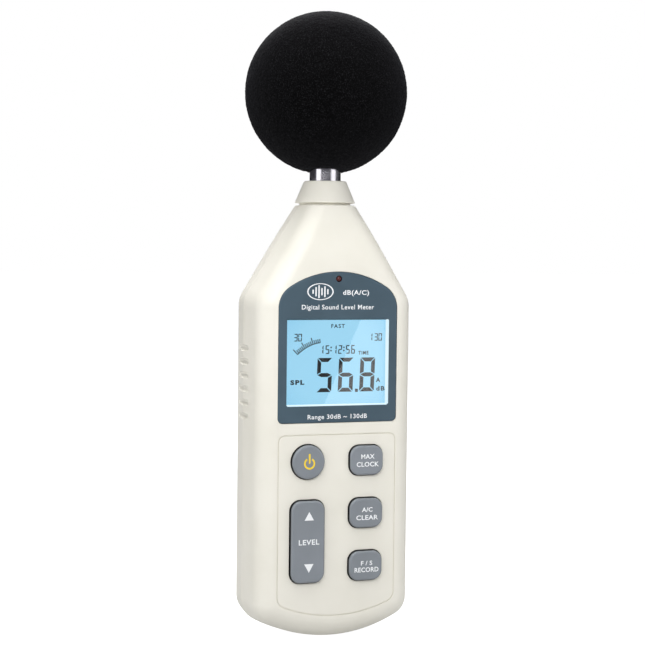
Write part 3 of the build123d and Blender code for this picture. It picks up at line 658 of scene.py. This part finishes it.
def pull_in(outline, gap):
    """A convex outline with every side moved inward by gap."""
    count = len(outline)
    twice_area = sum(
        outline[i][0] * outline[(i + 1) % count][1] - outline[(i + 1) % count][0] * outline[i][1]
        for i in range(count)
    )
    points = [Vector(p) for p in (outline if twice_area > 0 else outline[::-1])]
    sides = []
    for i in range(count):
        run = (points[(i + 1) % count] - points[i]).normalized()
        inside = Vector((-run.y, run.x))
        sides.append((points[i] + inside * gap, run))
    corners = []
    for i in range(count):
        (p, r), (q, s) = sides[i - 1], sides[i]
        t = (q - p).cross(s) / r.cross(s)
        corners.append(tuple(p + r * t))
    return corners


def digit(shape, left, low, wide, tall, stroke, gap):
    """The lit segments of one digit as outlines, leaning like the cell's own mask."""
    w, h, t = wide, tall, stroke
    m = h / 2
    masks = {
        "a": [(0, h), (w, h), (w - t, h - t), (t, h - t)],
        "b": [(w, h), (w, m), (w - t, m + t / 2), (w - t, h - t)],
        "c": [(w, m), (w, 0), (w - t, t), (w - t, m - t / 2)],
        "d": [(0, 0), (t, t), (w - t, t), (w, 0)],
        "e": [(0, 0), (0, m), (t, m - t / 2), (t, t)],
        "f": [(0, m), (0, h), (t, h - t), (t, m + t / 2)],
        "g": [
            (0, m), (t, m + t / 2), (w - t, m + t / 2), (w, m), (w - t, m - t / 2), (t, m - t / 2),
        ],
    }
    lit = [pull_in(masks[s], gap / 2) for s in SEGMENTS[shape]]
    return [[(left + x + SLANT * y, low + y) for x, y in outline] for outline in lit]


def colon(x, low, tall, size):
    """Two square spots, one above the other."""
    spots = []
    for share in (0.30, 0.66):
        left = x + SLANT * tall * share
        y = low + tall * share
        spots.append([(left, y), (left + size, y), (left + size, y + size), (left, y + size)])
    return spots


def small_mark(mark, left, low, wide, tall, stroke, gap):
    """One small digit or colon; a 1 stands at the left of its place."""
    if mark == ":":
        return colon(left, low, tall, stroke * 1.15)
    if mark == "1":
        left += stroke - wide
    return digit(mark, left, low, wide, tall, stroke, gap)


OPENING_RISE = 6.76
opening_low = bezel_low.z + OPENING_RISE

BIG_LOW = opening_low + 5.1
BIG_TALL = 14.1
BIG_WIDE = 6.7
BIG_STROKE = 1.95
BIG_GAP = 0.34
POINT_LEFT = 8.5
POINT_WIDE = 1.25
POINT_TALL = 1.3
POINT_LEAN = 0.06
big_digits = []
for mark, left in (("5", -8.3), ("6", 0.9), ("8", 10.15)):
    big_digits += digit(mark, left, BIG_LOW, BIG_WIDE, BIG_TALL, BIG_STROKE, BIG_GAP)
big_digits.append([
    (POINT_LEFT, BIG_LOW),
    (POINT_LEFT + POINT_WIDE, BIG_LOW),
    (POINT_LEFT + POINT_WIDE + POINT_LEAN, BIG_LOW + POINT_TALL),
    (POINT_LEFT + POINT_LEAN, BIG_LOW + POINT_TALL),
])

# Each mark with its left edge; sizes are width, height, stroke and gap.
CLOCK_LOW = opening_low + 20.6
CLOCK_SIZES = (1.7, 3.55, 0.5, 0.06)
CLOCK_MARKS = (
    ("1", -5.75), ("5", -4.4), (":", -2.3), ("1", -0.15),
    ("2", 1.05), (":", 3.2), ("5", 4.35), ("6", 6.6),
)
LIMIT_LOW = opening_low + 25.75
LIMIT_SIZES = (1.6, 3.1, 0.44, 0.05)
LIMIT_MARKS = (("3", -17.85), ("0", -16.05), ("1", 15.35), ("3", 16.6), ("0", 18.4))
small_digits = []
for mark, left in CLOCK_MARKS:
    small_digits += small_mark(mark, left, CLOCK_LOW, *CLOCK_SIZES)
for mark, left in LIMIT_MARKS:
    small_digits += small_mark(mark, left, LIMIT_LOW, *LIMIT_SIZES)

# Words on the glass: the middle across and above the opening's foot, width, height and weight.
lcd_words = [
    ("FAST", 0.95, 31.85, 5.8, 1.6, 0.02),
    ("TIME", 12.05, 20.95, 4.4, 1.5, 0.03),
    ("SPL", -16.15, 9.35, 5.9, 1.95, 0.05),
    ("A", 18.55, 9.85, 1.9, 1.85, 0.04),
    ("dB", 19.6, 6.35, 3.7, 1.85, 0.04),
]
lcd_art = [slab_of(big_digits), slab_of(small_digits)]
for words, x, z, wide, tall, weight in lcd_words:
    lcd_art.append(moved(words_mesh(words, wide, tall, weight, 1.25), x, opening_low + z))
new_piece("lcd_segments", lay_flat(join(lcd_art)), segment_ink, "root")


# ---- bevel round the inside of the display opening ----------------------------------------
def bevel_bar(start, end, inner_start, inner_end, front, back):
    """A closed bar along one side of the opening, sloping from its front edge in to the window."""
    points = []
    for (x, z), (inner_x, inner_z) in ((start, inner_start), (end, inner_end)):
        points += [(x, front, z), (x, back, z), (inner_x, back, inner_z)]
    faces = [[0, 1, 4, 3], [1, 2, 5, 4], [2, 0, 3, 5], [0, 2, 1], [3, 4, 5]]
    return mesh_from([Vector(p) * MM for p in points], faces)


OPENING_HALF = 21.75
OPENING_TALL = 34.83
BEVEL = 0.5
opening_high = opening_low + OPENING_TALL
bevel_front = bezel_low.y + 0.1
bevel_back = box_mm("display_window")[0].y - 0.02
outer_corners = []
inner_corners = []
# Which way is out at each corner, sideways and up, going round from the lower left.
for side, rise in ((-1, -1), (1, -1), (1, 1), (-1, 1)):
    edge = opening_high if rise > 0 else opening_low
    outer_corners.append((side * OPENING_HALF, edge))
    inner_corners.append((side * (OPENING_HALF - BEVEL), edge - rise * BEVEL))
bars = []
for i in range(4):
    j = (i + 1) % 4
    bars.append(
        bevel_bar(outer_corners[i], outer_corners[j], inner_corners[i], inner_corners[j],
                  bevel_front, bevel_back)
    )
# Painted highlight: the lower and right-hand bars glow, standing in for the light they catch; the
# other two keep the bezel's own finish and its shade.
new_piece("opening_bevel_painted_glow", outward(join(bars[:2])), painted_edge_glow, "root")
bezel_finish = finishes["bezel_plate"]
new_piece("opening_bevel_dark", outward(join(bars[2:])), bezel_finish, "root")


# ---- parts grown by geometry nodes --------------------------------------------------------
def new_tree(name, inputs):
    """A tree with a geometry output and one named input per value, and those inputs' sockets."""
    tree = bpy.data.node_groups.new(name, "GeometryNodeTree")
    tree.interface.new_socket("Geometry", in_out="OUTPUT", socket_type="NodeSocketGeometry")
    for label, value in inputs.items():
        if isinstance(value, bpy.types.Material):
            kind = "NodeSocketMaterial"
        else:
            kind = "NodeSocketInt" if isinstance(value, int) else "NodeSocketFloat"
        tree.interface.new_socket(label, in_out="INPUT", socket_type=kind)
    return tree, add(tree, "NodeGroupInput").outputs


def close_tree(tree, geometry, material):
    """Ends a tree in Realize Instances and Set Material."""
    real = add(tree, "GeometryNodeRealizeInstances", {0: geometry})
    finished = add(
        tree, "GeometryNodeSetMaterial", {"Geometry": real.outputs[0], "Material": material}
    )
    add(tree, "NodeGroupOutput", {0: finished.outputs[0]})


def grow(tree, values):
    """Runs a tree and returns the result as a plain mesh."""
    holder = bpy.data.objects.new("grower", bpy.data.meshes.new("empty"))
    scene.collection.objects.link(holder)
    modifier = holder.modifiers.new("grow", "NODES")
    modifier.node_group = tree
    for item in tree.interface.items_tree:
        if item.item_type == "SOCKET" and item.in_out == "INPUT" and item.name in values:
            modifier[item.identifier] = values[item.name]
    depsgraph = bpy.context.evaluated_depsgraph_get()
    mesh = bpy.data.meshes.new_from_object(holder.evaluated_get(depsgraph))
    bpy.data.objects.remove(holder)
    return mesh


def scale_ticks_tree(values):
    """Ticks along an arc, every so many of them longer, standing on a curved base line."""
    tree, given = new_tree("scale_ticks", values)
    arc = add(
        tree,
        "GeometryNodeCurveArc",
        {"Resolution": given["Count"], "Radius": given["Radius"], "Start Angle": given["Start"],
         "Sweep Angle": given["Sweep"]},
    )
    order = add(tree, "GeometryNodeInputIndex").outputs[0]
    last = add(tree, "ShaderNodeMath", {0: given["Count"], 1: 1.0}, operation="SUBTRACT")
    share = add(tree, "ShaderNodeMath", {0: order, 1: last.outputs[0]}, operation="DIVIDE")
    turn = add(
        tree,
        "ShaderNodeMath",
        {0: share.outputs[0], 1: given["Sweep"], 2: given["Start"]},
        operation="MULTIPLY_ADD",
    )
    facing = add(tree, "ShaderNodeCombineXYZ", {2: turn.outputs[0]})
    rest = add(tree, "ShaderNodeMath", {0: order, 1: given["Every"]}, operation="MODULO")
    major = add(tree, "ShaderNodeMath", {0: rest.outputs[0], 1: 0.5}, operation="LESS_THAN")
    long = add(
        tree,
        "ShaderNodeMath",
        {0: major.outputs[0], 1: given["Extra"], 2: 1.0},
        operation="MULTIPLY_ADD",
    )
    stretch = add(tree, "ShaderNodeCombineXYZ", {0: long.outputs[0], 1: 1.0, 2: 1.0})
    size = add(
        tree, "ShaderNodeCombineXYZ", {0: given["Tick Length"], 1: given["Tick Width"], 2: 1.0}
    )
    tick = add(tree, "GeometryNodeMeshCube", {"Size": size.outputs[0]})
    half = add(tree, "ShaderNodeMath", {0: given["Tick Length"], 1: 0.5}, operation="MULTIPLY")
    shift = add(tree, "ShaderNodeCombineXYZ", {0: half.outputs[0], 2: 0.5})
    standing = add(
        tree,
        "GeometryNodeTransform",
        {"Geometry": tick.outputs[0], "Translation": shift.outputs[0]},
    )
    row = add(
        tree,
        "GeometryNodeInstanceOnPoints",
        {"Points": arc.outputs[0], "Instance": standing.outputs[0], "Rotation": facing.outputs[0],
         "Scale": stretch.outputs[0]},
    )
    close_tree(tree, row.outputs[0], given["Material"])
    return tree


SCALE_MIDDLE = (-4.54, opening_low + 8.9)
SCALE_LINE_INNER = 16.25
SCALE_LINE_OUTER = 16.6
SCALE_OVERHANG = radians(0.5)
SCALE_START = 134.8
SCALE_STEP = 2.67
SCALE_COUNT = 15
SCALE_END = SCALE_START - SCALE_STEP * (SCALE_COUNT - 1)
tick_values = {
    "Count": SCALE_COUNT,
    "Radius": 16.35,
    "Start": radians(SCALE_START),
    "Sweep": radians(SCALE_END - SCALE_START),
    "Every": 5,
    "Extra": 0.75,
    "Tick Length": 1.6,
    "Tick Width": 0.4,
    "Material": segment_ink,
}
ticks = grow(scale_ticks_tree(tick_values), tick_values)
base_line = ring_band(
    SCALE_LINE_INNER, SCALE_LINE_OUTER, radians(SCALE_END) - SCALE_OVERHANG,
    radians(SCALE_START) + SCALE_OVERHANG, 24,
)
dial = moved(join([ticks, base_line]), *SCALE_MIDDLE)
new_piece("lcd_scale", lay_flat(dial), segment_ink, "root")


def coil_tree(values):
    """Round wire wound on a cone, standing along Z."""
    tree, given = new_tree("wire_coil", values)
    path = add(
        tree,
        "GeometryNodeCurveSpiral",
        {"Resolution": given["Steps"], "Rotations": given["Turns"], "Height": given["Height"],
         "Start Radius": given["Foot Radius"], "End Radius": given["Tip Radius"]},
    )
    wire = add(
        tree,
        "GeometryNodeCurvePrimitiveCircle",
        {"Resolution": given["Sides"], "Radius": given["Wire Radius"]},
    )
    swept = add(
        tree,
        "GeometryNodeCurveToMesh",
        {"Curve": path.outputs[0], "Profile Curve": wire.outputs[0], "Fill Caps": True},
    )
    close_tree(tree, swept.outputs[0], given["Material"])
    return tree


# ---- battery springs: one conical coil for each spring ------------------------------------
def loose_parts(node):
    """The box of each separate solid in a CAD node, in millimetres."""
    work = bmesh.new()
    work.from_mesh(nodes[node].data)
    bmesh.ops.remove_doubles(work, verts=work.verts, dist=1e-7)
    boxes = []
    left = set(work.verts)
    while left:
        found = {left.pop()}
        front = list(found)
        while front:
            vert = front.pop()
            for edge in vert.link_edges:
                other = edge.other_vert(vert)
                if other in left:
                    left.remove(other)
                    found.add(other)
                    front.append(other)
        low = Vector((min(v.co[i] for v in found) for i in range(3))) / MM
        high = Vector((max(v.co[i] for v in found) for i in range(3))) / MM
        boxes.append((low, high))
    work.free()
    return sorted(boxes, key=lambda pair: pair[0].x)


WIRE_R = 0.35
nickel = finishes["contact_nickel"]
coils = []
for low, high in loose_parts("battery_springs"):
    foot_is_low = low.z < cell_low.z
    tall = high.z - low.z - 2 * WIRE_R
    wide = (high.x - low.x) / 2 - WIRE_R
    coil_values = {
        "Steps": 30, "Turns": 3.5, "Foot Radius": wide * MM, "Tip Radius": wide * 0.5 * MM,
        "Height": tall * MM, "Wire Radius": WIRE_R * MM, "Sides": 10, "Material": nickel,
    }
    coil = grow(coil_tree(coil_values), coil_values)
    middle = (low + high) / 2
    base_z = low.z + WIRE_R if foot_is_low else high.z - WIRE_R
    for v in coil.vertices:
        v.co.z = base_z * MM + (v.co.z if foot_is_low else -v.co.z)
        v.co.x += middle.x * MM
        v.co.y += middle.y * MM
    coils.append(outward(coil))
springs = new_piece("battery_coils", join(coils), nickel, "root")
springs.data.shade_smooth()
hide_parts("battery_springs")

# ---- thread inside the tripod insert ------------------------------------------------------
THREAD_R = 3.175
THREAD_PITCH = 1.27
THREAD_LENGTH = 7.0
# The thread starts this far inside the mouth of the insert.
THREAD_LEAD = 0.4
THREAD_RIDGE = 0.42
brass = finishes["insert_brass"]
thread_values = {
    "Steps": 36, "Turns": THREAD_LENGTH / THREAD_PITCH, "Height": THREAD_LENGTH * MM,
    "Foot Radius": THREAD_R * MM, "Tip Radius": THREAD_R * MM, "Wire Radius": THREAD_RIDGE * MM,
    "Sides": 4, "Material": brass,
}
thread = grow(coil_tree(thread_values), thread_values)
thread_mouth = centre_mm("tripod_insert")
thread_mouth.y = box_mm("tripod_insert")[1].y - THREAD_LEAD
thread.transform(Matrix.Translation(thread_mouth * MM) @ Matrix.Rotation(radians(90), 4, "X"))
new_piece("tripod_thread_ridge", outward(thread), brass, "root")


# ---- foam windscreen ----------------------------------------------------------------------
def foam_tree(values):
    """A ball of cells: the skin is pushed in wherever a pore opens, by cell noise of one size."""
    tree, given = new_tree("foam_ball", values)
    ball = add(
        tree,
        "GeometryNodeMeshIcoSphere",
        {"Radius": given["Radius"], "Subdivisions": given["Fineness"]},
    )
    spot = add(tree, "GeometryNodeInputPosition").outputs[0]
    pores = add(
        tree,
        "ShaderNodeTexVoronoi",
        {"Vector": spot, "Scale": given["Pores"], "Randomness": 1.0},
        feature="F1",
    )
    soft = add(tree, "ShaderNodeTexNoise", {"Vector": spot, "Scale": given["Lumps"], "Detail": 2.0})
    push = add(
        tree,
        "ShaderNodeMapRange",
        {0: pores.outputs["Distance"], 1: 0.15, 2: 0.75, 3: given["Depth"], 4: 0.0},
    )
    lump = add(
        tree, "ShaderNodeMath", {0: soft.outputs[0], 1: given["Lump Depth"]}, operation="MULTIPLY"
    )
    depth = add(tree, "ShaderNodeMath", {0: push.outputs[0], 1: lump.outputs[0]}, operation="ADD")
    away = add(tree, "ShaderNodeVectorMath", {0: spot}, operation="NORMALIZE")
    back = add(tree, "ShaderNodeMath", {0: depth.outputs[0], 1: -1.0}, operation="MULTIPLY")
    step = add(
        tree,
        "ShaderNodeVectorMath",
        {0: away.outputs[0], "Scale": back.outputs[0]},
        operation="SCALE",
    )
    dented = add(
        tree, "GeometryNodeSetPosition", {"Geometry": ball.outputs[0], "Offset": step.outputs[0]}
    )
    close_tree(tree, dented.outputs[0], given["Material"])
    return tree


foam_low, foam_high = box_mm("foam_windscreen")
FOAM_R = (foam_high.x - foam_low.x) / 2
foam_middle = (foam_low + foam_high) / 2
foam_middle.z = foam_high.z - FOAM_R
tube_low, tube_high = box_mm("microphone_tube")
MOUTH_CLEARANCE = 0.15
MOUTH_R = (tube_high.x - tube_low.x) / 2 + MOUTH_CLEARANCE
# Heights above the mouth of the rings that make up the bore's wall.
BORE_STEPS = (0.6, 6.0, 24.0, 42.0)
# The foam beside the mouth is pushed up on the two sides that face this way and away from it.
LIP_TURN = radians(-20)
LIP_RISE = 2.0
LIP_REACH = 1.2
LIP_TOP = 22
LIP_FADE = 6


def open_mouth(mesh, mouth):
    """Takes the ball's skin away under the mouth and runs it up a bore as a closed pocket."""
    mouth_height = -(FOAM_R ** 2 * MM ** 2 - mouth ** 2) ** 0.5
    work = bmesh.new()
    work.from_mesh(mesh)
    cut = [v for v in work.verts if v.co.z < 0 and v.co.xy.length < mouth * 1.02]
    bmesh.ops.delete(work, geom=cut, context="VERTS")
    rim = [e for e in work.edges if e.is_boundary]
    for v in {v for e in rim for v in e.verts}:
        v.co.x, v.co.y = v.co.xy.normalized() * mouth
        v.co.z = mouth_height
    for height in BORE_STEPS:
        grown = bmesh.ops.extrude_edge_only(work, edges=rim)["geom"]
        rim = [g for g in grown if isinstance(g, bmesh.types.BMEdge) and g.is_boundary]
        for v in {v for e in rim for v in e.verts}:
            v.co.z = mouth_height + height * MM
    bmesh.ops.contextual_create(work, geom=rim)
    for v in work.verts:
        reach = v.co.xy.length
        if v.co.z < 0 and 0 < reach < mouth * (1 + LIP_REACH):
            near = 1 - max(0, (reach - mouth) / (mouth * LIP_REACH))
            low = min(1, max(0, (-v.co.z / MM - LIP_TOP) / LIP_FADE))
            facing = (v.co.x * sin(LIP_TURN) - v.co.y * cos(LIP_TURN)) / reach
            v.co.z += LIP_RISE * MM * near ** 2 * abs(facing) ** 0.8 * low
    bmesh.ops.recalc_face_normals(work, faces=work.faces)
    work.to_mesh(mesh)
    work.free()


PORE = 0.62
LUMP = 14
foam_values = {
    "Radius": FOAM_R * MM, "Fineness": 7, "Pores": 1 / (PORE * MM), "Depth": 0.3 * MM,
    "Lumps": 1 / (LUMP * MM), "Lump Depth": 0.25 * MM, "Material": finishes["foam_black"],
}
ball = grow(foam_tree(foam_values), foam_values)
open_mouth(ball, MOUTH_R * MM)
ball.transform(Matrix.Translation(foam_middle * MM))
foam = new_piece("foam_ball", ball, finishes["foam_black"], "windscreen_body")
foam.data.shade_smooth()
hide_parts("foam_windscreen")

# ---- room, light and camera ---------------------------------------------------------------
# The floor's edges, in metres.
FLOOR_SIDE = 6
FLOOR_FRONT = -0.9
FLOOR_BACK = 9
floor_level = cad_low[2]
floor_mesh = mesh_from(
    [
        (-FLOOR_SIDE, FLOOR_FRONT, floor_level),
        (FLOOR_SIDE, FLOOR_FRONT, floor_level),
        (FLOOR_SIDE, FLOOR_BACK, floor_level),
        (-FLOOR_SIDE, FLOOR_BACK, floor_level),
    ],
    [[0, 1, 2, 3]],
)
# White background paper, lit from below for the camera so that it leaves no grey band.
PAPER_GLOW = 0.3
PAPER_GLOW_SEEN = 0.97
floor_paint, paper, paper_surface, _ = start_finish("floor_paper_white", "#8c8c8c", 0.9)
paper_surface.inputs["Emission Color"].default_value = (1, 1, 1, 1)
straight = add(paper, "ShaderNodeLightPath").outputs["Is Camera Ray"]
paper_glow = add(paper, "ShaderNodeMapRange", {0: straight, 3: PAPER_GLOW, 4: PAPER_GLOW_SEEN})
paper.links.new(paper_glow.outputs[0], paper_surface.inputs["Emission Strength"])
floor_mesh.materials.append(floor_paint)
floor = bpy.data.objects.new("floor", floor_mesh)
scene.collection.objects.link(floor)
floor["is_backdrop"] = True

world = bpy.data.worlds.new("studio")
world.use_nodes = True
air = world.node_tree
air.nodes.clear()
seen = add(air, "ShaderNodeBackground", {"Color": (1, 1, 1, 1), "Strength": 1.0})
# The studio walls are grey in front and overhead, and dark behind the object.
WALL_BEHIND = 0.03
WALL_AHEAD = 0.15
CEILING = 0.2
way = add(air, "ShaderNodeSeparateXYZ", {0: add(air, "ShaderNodeTexCoord").outputs["Generated"]})
ahead = add(
    air, "ShaderNodeMapRange", {0: way.outputs[1], 1: 0.3, 2: -0.4, 3: WALL_BEHIND, 4: WALL_AHEAD}
)
above = add(air, "ShaderNodeMapRange", {0: way.outputs[2], 1: 0.2, 2: 0.7, 3: 0.0, 4: CEILING})
wall = add(air, "ShaderNodeMath", {0: ahead.outputs[0], 1: above.outputs[0]}, operation="MAXIMUM")
fill = add(air, "ShaderNodeBackground", {"Color": linear("#f6f7ff"), "Strength": wall.outputs[0]})
is_seen = add(air, "ShaderNodeLightPath").outputs["Is Camera Ray"]
room = add(air, "ShaderNodeMixShader", {0: is_seen, 1: fill.outputs[0], 2: seen.outputs[0]})
add(air, "ShaderNodeOutputWorld", {0: room.outputs[0]})
scene.world = world


def softbox(name, place, aim, width, height, power, upright=(0, 0, 1)):
    """A rectangular studio light facing aim, in millimetres and watts; height is along upright."""
    light = bpy.data.lights.new(name, "AREA")
    light.shape = "RECTANGLE"
    light.size = width * MM
    light.size_y = height * MM
    light.energy = power
    lamp = bpy.data.objects.new(name, light)
    back = (Vector(place) - Vector(aim)).normalized()
    upright = Vector(upright)
    tall = (upright - back * back.dot(upright)).normalized()
    wide = tall.cross(back)
    axes = Matrix((wide, tall, back)).transposed().to_4x4()
    lamp.matrix_world = Matrix.Translation(Vector(place) * MM) @ axes
    lamp.visible_camera = False
    scene.collection.objects.link(lamp)


# Each light's place, aim, width, height and power.
CASING_AIM = (0, 0, 30)
FOAM_AIM = (0, 0, 110)
softbox("softbox_left", (-900, -350, 260), FOAM_AIM, 600, 700, 2.4)
softbox("softbox_top", (-120, -120, 950), CASING_AIM, 900, 800, 8.5)
softbox("softbox_back", (300, 1000, 900), CASING_AIM, 900, 700, 20.0)
softbox("softbox_high_front", (-150, -420, 260), FOAM_AIM, 300, 160, 1.03)

# The left edge of the right-hand box leans, so the window mirrors it as a slanting gloss.
GLOSS_LEAN = (0.41, 0, 0.912)
GLOSS_FACING = Vector((-0.324, 0.935, 0.146))
GLOSS_PLACE = Vector((850.0, -708, 369.6))
GLOSS_AIM = GLOSS_PLACE + 800 * GLOSS_FACING
softbox("softbox_right", GLOSS_PLACE, GLOSS_AIM, 700, 1500, 4.6, GLOSS_LEAN)

CAMERA_PLACE = (-235.68, -663.73, 59.71)
CAMERA_AZIMUTH = -20.0
CAMERA_DROP = 2.56
CAMERA_ROLL = 0.61
CAMERA_LENS = 93.7
CAMERA_SENSOR = 36.0
camera_data = bpy.data.cameras.new("camera")
camera_data.lens = CAMERA_LENS
camera_data.sensor_width = CAMERA_SENSOR
camera = bpy.data.objects.new("camera", camera_data)
turned = (
    Matrix.Rotation(radians(CAMERA_AZIMUTH), 4, "Z")
    @ Matrix.Rotation(radians(90 - CAMERA_DROP), 4, "X")
    @ Matrix.Rotation(radians(CAMERA_ROLL), 4, "Z")
)
camera.matrix_world = Matrix.Translation(Vector(CAMERA_PLACE) * MM) @ turned
scene.collection.objects.link(camera)
scene.camera = camera
scene.view_settings.view_transform = "Standard"

low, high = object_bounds()
